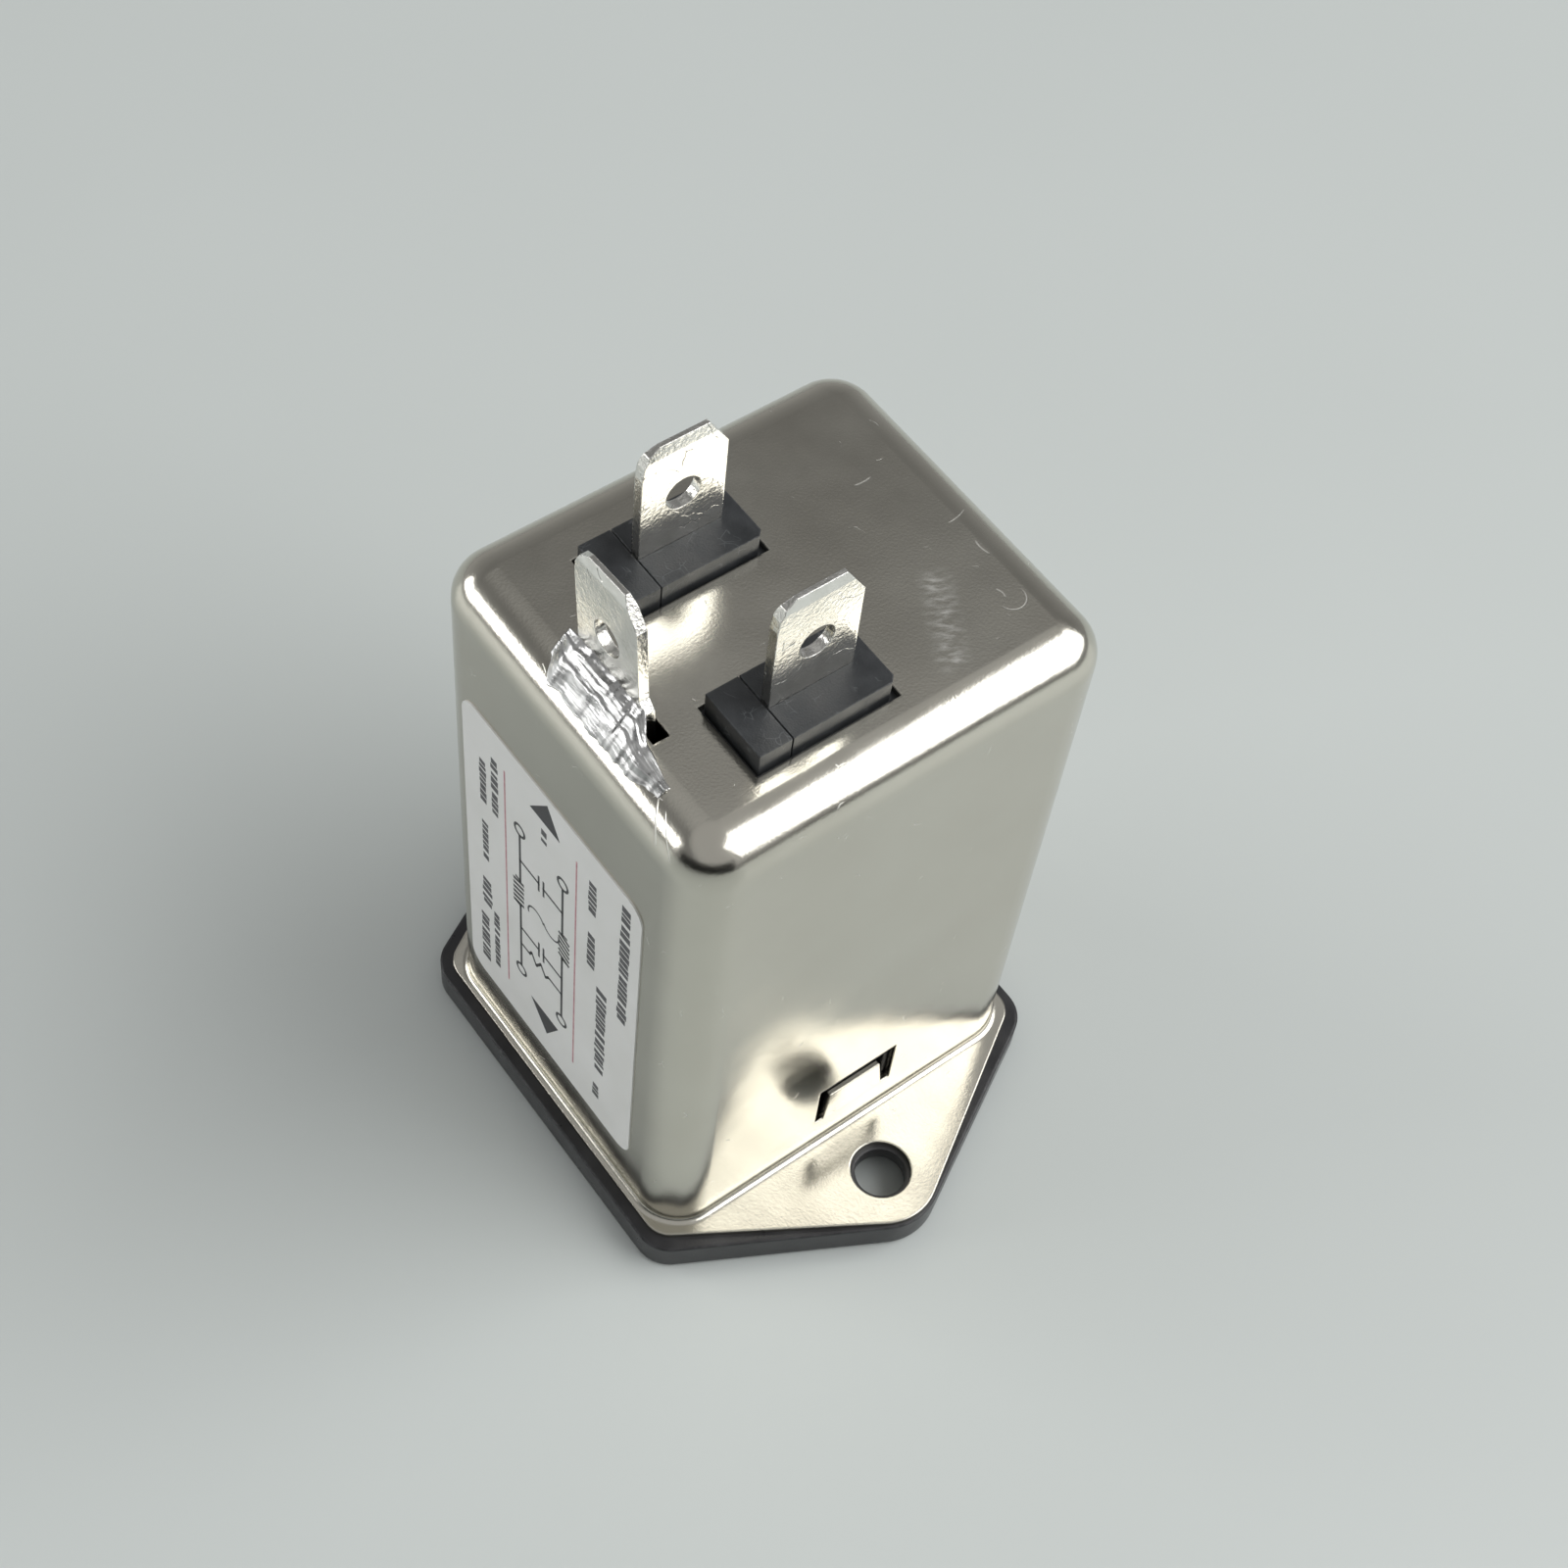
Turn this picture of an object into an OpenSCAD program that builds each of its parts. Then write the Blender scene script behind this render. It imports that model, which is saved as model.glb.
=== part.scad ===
// Mains appliance inlet with a built-in line filter: a drawn steel can on a moulded inlet,
// with two insulated blade terminals and one soldered earth blade on top.
// It stands on the face of its flange. X runs through the two screw holes, the printed label
// faces -Y, and Z = 0 is the front face of the flange.

/* [Steel can] */
// Outside width of the can, along the line of the screw holes
can_w = 30.2; // [29.6:0.1:31]
// Outside depth of the can, from the label to the back wall
can_d = 34; // [33:0.1:35]
// Height of the can's closed end above the flange face
can_top = 54.8; // [54:0.1:58]
// Radius of the can's upright edges
can_r = 3.6; // [3.5:0.1:4]
// Radius of the edges round the can's closed end
top_r = 3.2; // [2:0.1:3.4]
// Thickness of the can's steel sheet
sheet = 0.5; // [0.4:0.05:0.6]
// Radius of the bend from the can wall into its brim
foot_r = 0.5; // [0.3:0.1:0.8]

/* [Flange] */
// Distance between the two screw holes
hole_spacing = 40; // [39:0.1:42]
// Diameter of the screw holes in the steel brim
brim_hole_d = 4.8; // [4.4:0.1:5]
// Diameter of the screw holes in the moulded flange
screw_hole_d = 4; // [3.2:0.1:4.2]
// Diameter of the screw countersink on the flange face
sink_d = 7.4; // [6:0.1:7.6]
// Thickness of the moulded flange under the brim
flange_t = 3; // [2.6:0.1:3.4]
// Radius of the brim round each screw hole
brim_tip_r = 4.5; // [4:0.1:4.7]
// Radius of the moulded flange round each screw hole
flange_tip_r = 4.75; // [4.75:0.05:5]

/* [Latching lance] */
// Width of the window cut in each end wall of the can
lance_w = 7.3; // [6.6:0.1:8]
// Height of the window
lance_h = 5.2; // [4.4:0.1:6]
// Height of the tongue that stands in the window
tongue_h = 3.2; // [2.6:0.1:3.6]
// Width of the tongue at its foot
tongue_w = 5.7; // [5:0.1:6]

/* [Inlet socket] */
// Inside width of the socket
well_w = 24.6; // [24:0.1:25]
// Inside height of the socket
well_h = 16.6; // [16:0.1:17]
// Chamfer on the two socket corners nearest the earth pin
well_chamfer = 4.2; // [3.8:0.1:4.6]
// Depth of the socket behind the flange face
well_depth = 16.5; // [16:0.1:17]
// Distance between the live and neutral pins
pin_spacing = 14; // [13.8:0.1:14.2]
// Offset of the earth pin from the line of the other two
earth_offset = 4; // [3.8:0.1:4.2]

/* [Terminals] */
// Width of the blade terminals
blade_w = 6.6; // [6.2:0.1:6.8]
// Thickness of the blade terminals
blade_t = 0.8; // [0.7:0.1:0.9]
// Height of the live and neutral blades above their insulators
blade_h = 9.7; // [8.5:0.1:10]
// Diameter of the hole in each blade
blade_hole_d = 2.7; // [2:0.1:2.8]
// Width of each terminal insulator
insulator_w = 5.7; // [5.4:0.1:6]
// Length of each terminal insulator
insulator_l = 10.7; // [10.2:0.1:11]
// Height of the insulators above the can's closed end
insulator_h = 1.6; // [1.4:0.1:2]
// Lean of the earth blade in its own plane, in degrees
earth_lean = 5; // [0:0.5:6]

/* [Choke] */
// Outside diameter of the choke's ring core
core_od = 19; // [18:0.1:19]
// Inside diameter of the choke's ring core
core_id = 11; // [11:0.1:11.4]
// Height of the choke's ring core
core_h = 8; // [7:0.1:8]
// Diameter of the winding wire
wire_d = 1.1; // [0.9:0.05:1.1]
// Turns in each winding
turns = 9; // [6:1:9]

/* [Hidden] */
$fn = 64;
eps = 0.01;

// brim and can
brim_z = flange_t + sheet;
brim_corner = [13.3, 15.4, 2.2];
can_in_w = can_w - 2 * sheet;
can_in_d = can_d - 2 * sheet;
ceiling_z = can_top - sheet;

// lance: a tapered tongue cut from each end wall, bent in a little to latch the housing
lance_y = 0.45;
lance_z = brim_z + 3.5;
lance_angle = 2;
tongue_tip_w = tongue_w - 0.9;
latch_depth = 1.2;
latch_play = 0.4;
latch_roof = lance_z + tongue_h + 0.1;

// housing
flange_corner = [13.6, 15.5, 3];
flange_edge = 0.4;
spigot_w = can_in_w - 0.2;
spigot_d = can_in_d - 0.2;
spigot_wall = 1.6;
spigot_top = 15;
well_wall = 1.5;
well_floor = 2;
well_back = well_depth + well_floor;
sink_depth = (sink_d - screw_hole_d) / 2;
mouth_chamfer = 0.6;
rib_pitch = 8;
rib_t = 1.2;
rib_h = 9;
boss_rim = 1.2;
boss_h = 1.2;

// pins
pin_w = 4;
pin_t = 2;
pin_y = earth_offset / 2;
pin_tip_z = 3.6;
earth_tip_z = 1.6;
pin_chamfer = 0.7;
tail_w = 3;
tail_t = 1;
tail_top = 24.5;
tail_hole_z = 22.9;
tail_hole_d = 1.3;

// terminals
terminal_x = [7.4, -6.6];
blade_y = -3.45;
insulator_off = 0.2;
insulator_y = -4;
insulator_top = can_top + insulator_h;
insulator_bottom = 50;
insulator_corner = 0.4;
insulator_gap = 0.3;
collar_w = insulator_w + 2.5;
collar_l = insulator_l + 2.5;
collar_t = 1.2;
seam = 0.12;
blade_tail_z = 47.8;
blade_top = insulator_top + blade_h;
blade_corner = [1.4, 2.2];
blade_round = [[0.55, 0.45], [0.15, 1.2]];
blade_bevel = [0.22, 0.8];
blade_hole_z = 4.5;
earth_x = 0.05;
earth_y = -12.9;
earth_h = 10;
earth_shoulder_w = 7.8;
earth_shoulder_z = 1.7;
earth_shoulder_edge = 0.9;
earth_tail_z = 48;
earth_slot = [9.2, 1.3, 0.55];

// solder fillet along the foot of the earth blade: places out from the blade and along X,
// each with its height above the can
solder_section = [[0, 2.6], [0.5, 2.1], [1.2, 0.9], [2.3, -0.1], [2.6, -1]];
solder_run = [[-4.6, 1.4], [-3.4, 2.6], [1, 2.2], [4.6, 0.9], [7.6, 0]];

// label
label_w = 21.3;
label_h = 35.2;
label_r = 1.6;
label_x = -0.85;
label_z = 26.2;
label_t = 0.12;

// parts inside
liner_t = 0.25;
liner_top = 51.5;
choke_y = -2.5;
choke_z = 38.5;
core_r = 0.8;
wire_gap = 0.1;
turn_pitch = 14.5;
divider_t = 1.2;
divider_over = 1.3;
divider_lap = 1.5;
winding_rise = 0.9;
winding_swing = [1.5, -0.2, -2];
winding_on = [0.4, -0.9, -0.3];
winding_off = [-0.2, 1, 0.3];
winding_drop = 0.9;
lead_d = 0.7;
lead_root = 0.2;
lead_jog = 2;
lead_bend = 0.8;
x_cap = [18, 6, 12];
x_cap_y = 9.5;
x_cap_z = 26;
x_cap_pitch = 15;
x_cap_r = 0.6;
y_cap_d = 8;
y_cap_t = 3.4;
y_cap_at = [5.3, -12, 27];
y_cap_pitch = 5;
y_cap_rim = 0.9;
y_cap_lead_z = tail_top - 2.8;
resistor_l = 6.5;
resistor_d = 2.4;
resistor_cap_l = 1.5;
resistor_waist = 0.2;
resistor_at = [0, 5.8, 20.9];
earth_lead_d = 1.7;
earth_lead_y = -9.6;
earth_lead_z = [27.2, 43];
earth_lead_bend = 1.2;
earth_lead_end = 2.4;

// ---------------------------------------------------------------- outlines and common shapes

module rounded_rect(w, d, r) {
  square([w - 2 * r, d], center = true);
  square([w, d - 2 * r], center = true);
  for (x = [-1, 1], y = [-1, 1]) translate([x * (w / 2 - r), y * (d / 2 - r)]) circle(r);
}

module quarter_disc(r) {
  intersection() {
    circle(r);
    square(r);
  }
}

// half section of a rounded top, from the centre of an upright edge of radius r outwards
module top_profile(r, top) {
  square([r - top, top]);
  translate([r - top, 0]) quarter_disc(top);
}

// block with upright edges of radius r and top edges of a smaller radius
module rounded_block(w, d, h, r, top) {
  flat_w = w - 2 * r;
  flat_d = d - 2 * r;
  linear_extrude(h - top) rounded_rect(w, d, r);
  translate([0, 0, h - top]) {
    translate([-flat_w / 2, -flat_d / 2, 0]) cube([flat_w, flat_d, top]);
    for (side = [0, 1]) rotate(180 * side) {
      translate([flat_w / 2, flat_d / 2, 0]) rotate([90, 0, 0])
        linear_extrude(flat_d) top_profile(r, top);
      translate([-flat_w / 2, flat_d / 2, 0]) rotate([90, 0, 90])
        linear_extrude(flat_w) top_profile(r, top);
      translate([flat_w / 2, flat_d / 2, 0]) rotate_extrude(angle = 90) top_profile(r, top);
      translate([-flat_w / 2, flat_d / 2, 0]) rotate(90)
        rotate_extrude(angle = 90) top_profile(r, top);
    }
  }
}

// touching point on the first of two circles [x, y, r] of the line along their left sides
function left_touch(a, b) =
  let (dx = b[0] - a[0], dy = b[1] - a[1], span = norm([dx, dy]),
       turn = atan2(dy, dx) + acos((a[2] - b[2]) / span))
  [a[0] + a[2] * cos(turn), a[1] + a[2] * sin(turn)];

// six-sided outline with round ends over the screw holes and round corners beside the can
module flange_outline(tip_r, corner) {
  tip = [hole_spacing / 2, 0, tip_r];
  ring = [tip, [corner[0], -corner[1], corner[2]], [-corner[0], -corner[1], corner[2]],
          [-tip[0], 0, tip_r], [-corner[0], corner[1], corner[2]], corner];
  count = len(ring);
  polygon([for (i = [0:count - 1]) let (a = ring[i], b = ring[(i + 1) % count])
           each [left_touch(a, b), reverse_touch(a, b)]]);
  for (c = ring) translate([c[0], c[1]]) circle(c[2]);
}

// touching point of the same line on the second circle
function reverse_touch(a, b) = let (p = left_touch(a, b)) let (k = b[2] / a[2])
  [b[0] + (p[0] - a[0]) * k, b[1] + (p[1] - a[1]) * k];

module at_screw_holes() {
  for (x = [-1, 1]) translate([x * hole_spacing / 2, 0, 0]) children();
}

// path with each inner corner cut back by r and eased through one more point
function eased(points, r) = let (last = len(points) - 1)
  [for (i = [0:last]) each i == 0 || i == last ? [points[i]] :
     let (a = points[i] + r * unit(points[i - 1] - points[i]),
          b = points[i] + r * unit(points[i + 1] - points[i]))
     [a, (a + 2 * points[i] + b) / 4, b]];

// tube along a list of points: the first side direction is carried along without twist
function unit(v) = v / norm(v);
function across(v, t) = unit(v - (v * t) * t);
module sweep(points, d, sides, first) {
  last = len(points) - 1;
  along = [for (i = [0:last])
           unit(points[min(i + 1, last)] - points[max(i - 1, 0)])];
  side = [for (i = 0, s = across(first, along[0]); i <= last;
               i = i + 1, s = across(s, along[min(i, last)])) s];
  ring = [for (i = [0:last], k = [0:sides - 1])
          let (up = cross(along[i], side[i]), a = 360 * k / sides)
          points[i] + d / 2 * (cos(a) * side[i] + sin(a) * up)];
  walls = [for (i = [0:last - 1], k = [0:sides - 1])
           let (a = i * sides + k, b = i * sides + (k + 1) % sides)
           each [[a, a + sides, b], [b, a + sides, b + sides]]];
  start_cap = [for (k = [0:sides - 1]) k];
  end_cap = [for (k = [sides - 1:-1:0]) last * sides + k];
  polyhedron(ring, concat(walls, [start_cap, end_cap]), convexity = 8);
}

// ---------------------------------------------------------------- steel can

// round fillet where the wall turns out into the brim
module foot_profile() {
  difference() {
    square(foot_r);
    translate([foot_r, foot_r]) circle(foot_r);
  }
}

module foot_fillet() {
  flat_w = can_w - 2 * can_r;
  flat_d = can_d - 2 * can_r;
  translate([0, 0, brim_z]) for (side = [0, 1]) rotate(180 * side) {
    translate([can_w / 2, flat_d / 2, 0]) rotate([90, 0, 0]) linear_extrude(flat_d) foot_profile();
    translate([-flat_w / 2, can_d / 2, 0]) rotate([90, 0, 90])
      linear_extrude(flat_w) foot_profile();
    for (end = [0, 1]) mirror([end, 0, 0]) translate([flat_w / 2, flat_d / 2, 0])
      rotate_extrude(angle = 90) translate([can_r, 0]) foot_profile();
  }
}

module lance_window() {
  translate([can_w / 2 - sheet - 1, lance_y - lance_w / 2, lance_z])
    cube([sheet + 2, lance_w, lance_h]);
}

// the tongue stays joined along its foot and narrows towards its tip
module lance_tongue() {
  foot = tongue_w / 2;
  tip = tongue_tip_w / 2;
  root = -sheet / 2;
  translate([can_w / 2, lance_y, lance_z]) rotate([0, -lance_angle, 0])
    translate([-sheet, 0, 0]) rotate([90, 0, 90]) linear_extrude(sheet)
      polygon([[-foot, root], [foot, root], [tip, tongue_h], [-tip, tongue_h]]);
}

module insulator_outline() {
  w = insulator_w / 2;
  l = insulator_l / 2;
  c = insulator_corner;
  polygon([[-w, -l], [w, -l], [w, l - c], [w - c, l], [c - w, l], [-w, l - c]]);
}

module insulator_opening() {
  square([insulator_w + 2 * insulator_gap, insulator_l + 2 * insulator_gap], center = true);
}

module earth_slot_cut() {
  translate([earth_x + earth_slot[2], earth_y, ceiling_z - 1])
    linear_extrude(sheet + 2) square([earth_slot[0], earth_slot[1]], center = true);
}

module steel_can() color([0.62, 0.61, 0.57]) {
  difference() {
    union() {
      translate([0, 0, flange_t]) {
        rounded_block(can_w, can_d, can_top - flange_t, can_r, top_r);
        linear_extrude(sheet) flange_outline(brim_tip_r, brim_corner);
      }
      foot_fillet();
    }
    translate([0, 0, flange_t - 1])
      rounded_block(can_in_w, can_in_d, ceiling_z - flange_t + 1, can_r - sheet, top_r - sheet);
    at_screw_holes() translate([0, 0, flange_t - 1]) cylinder(d = brim_hole_d, h = sheet + 2);
    for (x = terminal_x) translate([x + insulator_off, insulator_y, ceiling_z - 1])
      linear_extrude(sheet + 2) insulator_opening();
    earth_slot_cut();
    for (end = [0, 1]) mirror([end, 0, 0]) lance_window();
  }
  for (end = [0, 1]) mirror([end, 0, 0]) lance_tongue();
}

// ---------------------------------------------------------------- moulded inlet housing

module well_outline(grow) {
  w = well_w / 2 + grow;
  h = well_h / 2 + grow;
  c = well_chamfer + grow * (2 - sqrt(2));
  polygon([[-w, h], [-w, c - h], [c - w, -h], [w - c, -h], [w, c - h], [w, h]]);
}

// the recess that the lance tongue drops into; its roof is the latching face
module latch_pocket() {
  w = tongue_w + 2 * latch_play;
  translate([spigot_w / 2 - latch_depth, lance_y - w / 2, lance_z - 1])
    cube([latch_depth + 1, w, latch_roof - lance_z + 1]);
}

module spigot_ribs() {
  well_half = well_h / 2 + well_wall;
  wall_half = spigot_d / 2 - spigot_wall;
  for (x = [-rib_pitch, 0, rib_pitch], y = [-1, 1]) {
    from = y > 0 ? well_half - 0.5 : -wall_half - 0.5;
    translate([x - rib_t / 2, from, flange_t - 0.5])
      cube([rib_t, wall_half - well_half + 1, rib_h + 0.5]);
  }
}

module pin_boss(at) {
  boss_w = pin_w + 2 * boss_rim;
  boss_t = pin_t + 2 * boss_rim;
  translate([at[0] - boss_t / 2, at[1] - boss_w / 2, well_back - 0.5])
    cube([boss_t, boss_w, boss_h + 0.5]);
}

pin_at = [[pin_spacing / 2, pin_y], [-pin_spacing / 2, pin_y], [0, -pin_y]];

module inlet_housing() color([0.05, 0.05, 0.05]) {
  difference() {
    union() {
      translate([0, 0, flange_edge]) linear_extrude(flange_t - flange_edge)
        flange_outline(flange_tip_r, flange_corner);
      linear_extrude(flange_t)
        flange_outline(flange_tip_r - flange_edge,
                       [flange_corner[0], flange_corner[1], flange_corner[2] - flange_edge]);
      difference() {
        linear_extrude(spigot_top) rounded_rect(spigot_w, spigot_d, can_r - sheet);
        translate([0, 0, flange_t]) linear_extrude(spigot_top)
          rounded_rect(spigot_w - 2 * spigot_wall, spigot_d - 2 * spigot_wall, 1);
      }
      linear_extrude(well_back) well_outline(well_wall);
      spigot_ribs();
      for (at = pin_at) pin_boss(at);
    }
    translate([0, 0, -1]) linear_extrude(well_depth + 1) well_outline(0);
    translate([0, 0, -1]) linear_extrude(mouth_chamfer + 1) well_outline(mouth_chamfer);
    at_screw_holes() {
      translate([0, 0, -1]) cylinder(d = screw_hole_d, h = flange_t + 2);
      translate([0, 0, -eps]) cylinder(d1 = sink_d, d2 = screw_hole_d, h = sink_depth);
    }
    for (at = pin_at) translate([at[0] - pin_t / 2, at[1] - pin_w / 2, well_depth - 1])
      cube([pin_t, pin_w, well_floor + 4]);
    for (end = [0, 1]) mirror([end, 0, 0]) latch_pocket();
  }
}

// ---------------------------------------------------------------- contact pins

// flat bar seen along one side: chamfered tip, full-width body and narrower solder tail
module pin_profile(w, tail, tip_z) {
  neck = well_back + boss_h;
  c = pin_chamfer;
  polygon([[-w / 2, tip_z + c], [c / 2 - w / 2, tip_z], [w / 2 - c / 2, tip_z],
           [w / 2, tip_z + c], [w / 2, neck], [tail / 2, neck], [tail / 2, tail_top],
           [-tail / 2, tail_top], [-tail / 2, neck], [-w / 2, neck]]);
}

module contact_pin(tip_z) {
  difference() {
    intersection() {
      translate([0, pin_w, 0]) rotate([90, 0, 0])
        linear_extrude(2 * pin_w) pin_profile(pin_t, tail_t, tip_z);
      translate([-pin_t, 0, 0]) rotate([90, 0, 90])
        linear_extrude(2 * pin_t) pin_profile(pin_w, tail_w, tip_z);
    }
    translate([-pin_t, 0, tail_hole_z]) rotate([0, 90, 0])
      cylinder(d = tail_hole_d, h = 2 * pin_t);
  }
}

module live_pin() color([0.78, 0.76, 0.7]) translate(pin_at[0]) contact_pin(pin_tip_z);
module neutral_pin() color([0.78, 0.76, 0.7]) translate(pin_at[1]) contact_pin(pin_tip_z);
module earth_pin() color([0.78, 0.76, 0.7]) translate(pin_at[2]) contact_pin(earth_tip_z);

// ---------------------------------------------------------------- terminals

module terminal_insulator() {
  collar_z = ceiling_z - collar_t;
  blade_at = blade_y - insulator_y;
  seam_y = blade_at - blade_w / 2;
  difference() {
    union() {
      translate([0, 0, insulator_bottom])
        linear_extrude(insulator_top - insulator_bottom) insulator_outline();
      translate([-collar_w / 2, -collar_l / 2, collar_z]) cube([collar_w, collar_l, collar_t]);
    }
    translate([-insulator_off - blade_t / 2, blade_at - blade_w / 2, insulator_bottom - 1])
      cube([blade_t, blade_w, insulator_top - insulator_bottom + 2]);
    translate([-insulator_w, seam_y - seam, insulator_top - seam])
      cube([2 * insulator_w, seam, 1]);
    for (x = [-1, 1]) translate([x * insulator_w / 2 - seam, seam_y - seam, ceiling_z])
      cube([2 * seam, seam, insulator_h + 1]);
  }
}

module live_insulator() color([0.11, 0.12, 0.13])
  translate([terminal_x[0] + insulator_off, insulator_y, 0]) terminal_insulator();
module neutral_insulator() color([0.11, 0.12, 0.13])
  translate([terminal_x[1] + insulator_off, insulator_y, 0]) terminal_insulator();

// blade seen face on, standing on z = foot, with one top corner clipped straight and the
// other worn rounder by the blanking die
module blade_face(foot, top) {
  w = blade_w / 2;
  polygon([[-w, foot], [w, foot], [w, top - blade_corner[1]], [w - blade_corner[0], top],
           [blade_corner[0] - w, top], for (c = blade_round) [c[0] - w, top - c[1]],
           [-w, top - blade_corner[1]]]);
}

// blade seen edge on, with both faces bevelled towards the top
module blade_edge(foot, top) {
  t = blade_t / 2;
  polygon([[-t, foot], [t, foot], [t, top - blade_bevel[1]], [t - blade_bevel[0], top],
           [blade_bevel[0] - t, top], [-t, top - blade_bevel[1]]]);
}

// live and neutral blade: pushed through its insulator, with a narrow solder tail below
module terminal_blade() {
  difference() {
    union() {
      intersection() {
        translate([-1, 0, 0]) rotate([90, 0, 90])
          linear_extrude(2) blade_face(insulator_bottom, blade_top);
        translate([0, blade_w, 0]) rotate([90, 0, 0])
          linear_extrude(2 * blade_w) blade_edge(insulator_bottom, blade_top);
      }
      translate([-blade_t / 2, -tail_w / 2, blade_tail_z])
        cube([blade_t, tail_w, insulator_bottom - blade_tail_z + 1]);
    }
    translate([-1, 0, insulator_top + blade_hole_z]) rotate([0, 90, 0])
      cylinder(d = blade_hole_d, h = 2);
  }
}

module live_tab() color([0.86, 0.85, 0.8]) translate([terminal_x[0], blade_y, 0]) terminal_blade();
module neutral_tab() color([0.86, 0.85, 0.8])
  translate([terminal_x[1], blade_y, 0]) terminal_blade();

// earth blade: shouldered where it passes the slot in the can, leaning a little to one side
module earth_tab() color([0.84, 0.83, 0.78]) {
  top = earth_h;
  shoulder = earth_shoulder_w / 2;
  tail = earth_tail_z - can_top;
  translate([earth_x, earth_y, can_top]) rotate([0, -earth_lean, 0]) difference() {
    union() {
      intersection() {
        translate([0, 1, 0]) rotate([90, 0, 0]) linear_extrude(2) blade_face(0, top);
        translate([-blade_w, 0, 0]) rotate([90, 0, 90])
          linear_extrude(2 * blade_w) blade_edge(0, top);
      }
      translate([0, blade_t / 2, 0]) rotate([90, 0, 0]) linear_extrude(blade_t)
        polygon([[-shoulder, -sheet - 1], [shoulder, -sheet - 1],
                 [shoulder, earth_shoulder_edge], [blade_w / 2, earth_shoulder_z],
                 [-blade_w / 2, earth_shoulder_z], [-shoulder, earth_shoulder_edge]]);
      translate([-tail_w / 2, -blade_t / 2, tail]) cube([tail_w, blade_t, -tail]);
    }
    translate([0, 1, blade_hole_z]) rotate([90, 0, 0]) cylinder(d = blade_hole_d, h = 2);
  }
}

// fillet of solder on the label side of the earth blade, run out along the rounded edge and
// falling away towards the far end of the blade
module earth_solder() color([0.83, 0.83, 0.82]) {
  face_y = earth_y - blade_t / 2;
  start = solder_run[0][0];
  end = solder_run[len(solder_run) - 1][0];
  reach = solder_section[len(solder_section) - 1][0];
  foot_z = can_top - top_r;
  difference() {
    intersection() {
      translate([start, 0, 0]) rotate([90, 0, 90]) linear_extrude(end - start)
        polygon([[face_y, foot_z], for (p = solder_section) [face_y - p[0], can_top + p[1]],
                 [face_y - reach, foot_z]]);
      translate([0, face_y + 1, 0]) rotate([90, 0, 0]) linear_extrude(reach + 2)
        polygon([[start, foot_z], for (p = solder_run) [p[0], can_top + p[1]], [end, foot_z]]);
    }
    translate([0, 0, flange_t]) rounded_block(can_w, can_d, can_top - flange_t, can_r, top_r);
  }
}

// ---------------------------------------------------------------- label and liner

module printed_label() color([0.9, 0.9, 0.88])
  translate([label_x, -can_d / 2, label_z]) rotate([90, 0, 0])
    linear_extrude(label_t) rounded_rect(label_w, label_h, label_r);

module insulating_liner() color([0.93, 0.92, 0.86]) translate([0, 0, spigot_top])
  linear_extrude(liner_top - spigot_top) difference() {
    rounded_rect(can_in_w, can_in_d, can_r - sheet);
    rounded_rect(can_in_w - 2 * liner_t, can_in_d - 2 * liner_t, can_r - sheet - liner_t);
  }

// ---------------------------------------------------------------- choke

module at_choke() {
  translate([0, choke_y, choke_z]) rotate([90, 0, 0]) children();
}

module choke_core() color([0.16, 0.3, 0.2]) at_choke() rotate_extrude()
  translate([(core_od + core_id) / 4, 0]) rounded_rect((core_od - core_id) / 2, core_h, core_r);

// plastic plate across the bore that keeps the two windings apart
module choke_divider() color([0.9, 0.9, 0.85]) at_choke() {
  bore = core_id / 2;
  half = core_h / 2;
  intersection() {
    translate([-divider_t / 2, -bore, -half]) cube([divider_t, core_id, core_h]);
    translate([0, 0, -half]) cylinder(r = bore, h = core_h);
  }
  for (face = [0, 1]) mirror([0, 0, face])
    translate([-divider_t / 2, -bore - divider_lap, half])
      cube([divider_t, core_id + 2 * divider_lap, divider_over]);
}

// One turn hugs the core's section. Its points are twelve places on the four round corners,
// and the turn moves on round the ring by one pitch.
wire_r = core_r + wire_d / 2 + wire_gap;
half_radial = (core_od - core_id) / 4 - core_r;
half_axial = core_h / 2 - core_r;
function corner_sign(q) = [[1, 1], [-1, 1], [-1, -1], [1, -1]][q];
function turn_point(turn, q, k) =
  let (a = 90 * q + 45 * k, s = corner_sign(q),
       radial = (core_od + core_id) / 4 + s[0] * half_radial + wire_r * cos(a),
       axial = s[1] * half_axial + wire_r * sin(a),
       round = turn_pitch * (turn + (q + k / 2) / 4.5 - turns / 2))
  [radial * cos(round), choke_y + axial, choke_z + radial * sin(round)];
function winding_path(tab_face) =
  let (first = turn_point(0, 0, 0), final = turn_point(turns - 1, 3, 2),
       pin = [pin_spacing / 2, pin_y, tail_top], tab = [tab_face, blade_y, blade_tail_z + 1])
  concat([pin, pin + [0, 0, winding_rise], first + winding_swing, first + winding_on],
         [for (turn = [0:turns - 1], q = [0:3], k = [0:2]) turn_point(turn, q, k)],
         [final + winding_off, [final[0] + winding_drop, blade_y, tab[2]], tab]);

module winding(tab_face) sweep(winding_path(tab_face), wire_d, 6, [0, 1, 0]);

module live_winding() color([0.72, 0.38, 0.2]) winding(terminal_x[0] - blade_t / 2);
module neutral_winding() color([0.72, 0.38, 0.2])
  mirror([1, 0, 0]) winding(-terminal_x[1] - blade_t / 2);

// ---------------------------------------------------------------- capacitors and resistor

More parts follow.
